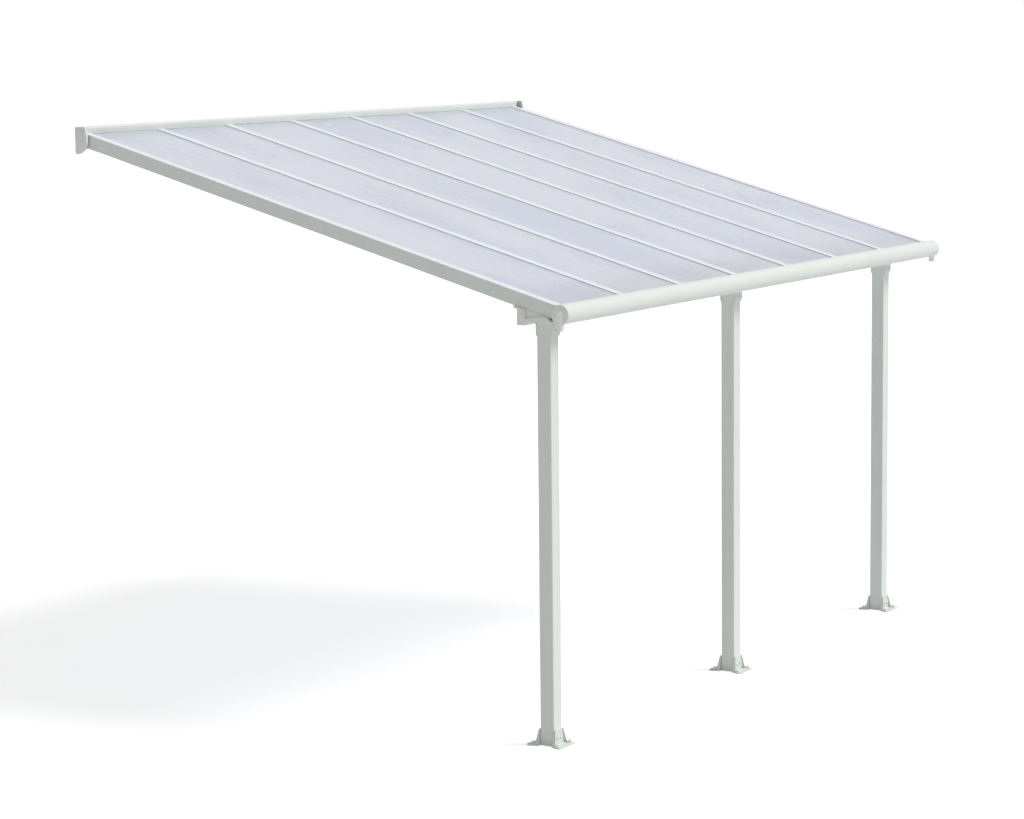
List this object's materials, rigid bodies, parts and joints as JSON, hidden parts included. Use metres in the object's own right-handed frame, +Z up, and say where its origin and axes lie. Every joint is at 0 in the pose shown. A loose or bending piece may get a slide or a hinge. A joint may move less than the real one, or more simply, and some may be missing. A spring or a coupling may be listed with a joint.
{
  "type": "attached patio cover",
  "caption": "Lean-to patio cover: white aluminium wall header, sloping rafters, twin-wall roof sheets, a round front gutter and square posts on bracket feet.",
  "frame": {"origin": "on the wall, at the centre of the back face of the wall header", "axes": "+Z up, +Y out of the cover's back face into the wall, +X to the right along the wall as seen from the garden"},
  "size_m": [4.312, 2.9469, 2.939],
  "materials": {
    "white_frame": "satin white powder coat on aluminium extrusions",
    "cast_white": "satin white powder coat on castings",
    "cap_plastic": "pale grey-white moulded plastic",
    "roof_sheet": "translucent white twin-wall polycarbonate with a faint blue cast"
  },
  "bodies": {
    "root": {"wall_header": "white_frame", "header_cap_left": "cap_plastic", "header_cap_right": "cap_plastic", "side_rafter_left": "white_frame", "side_rafter_right": "white_frame", "rafter_1": "white_frame", "rafter_2": "white_frame", "rafter_3": "white_frame", "rafter_4": "white_frame", "rafter_5": "white_frame", "rafter_6": "white_frame", "cover_strip_left": "white_frame", "cover_strip_right": "white_frame", "cover_strip_1": "white_frame", "cover_strip_2": "white_frame", "cover_strip_3": "white_frame", "cover_strip_4": "white_frame", "cover_strip_5": "white_frame", "cover_strip_6": "white_frame", "roof_sheet_1": "roof_sheet", "roof_sheet_2": "roof_sheet", "roof_sheet_3": "roof_sheet", "roof_sheet_4": "roof_sheet", "roof_sheet_5": "roof_sheet", "roof_sheet_6": "roof_sheet", "roof_sheet_7": "roof_sheet", "front_gutter": "white_frame", "gutter_cap_left": "cap_plastic", "gutter_cap_right": "cap_plastic", "gutter_spout_left": "cap_plastic", "gutter_spout_right": "cap_plastic", "post_left": "white_frame", "post_middle": "white_frame", "post_right": "white_frame", "post_head_left": "cast_white", "post_head_middle": "cast_white", "post_head_right": "cast_white", "foot_front_left": "cast_white", "foot_front_middle": "cast_white", "foot_front_right": "cast_white", "foot_back_left": "cast_white", "foot_back_middle": "cast_white", "foot_back_right": "cast_white"}
  },
  "joints": []
}
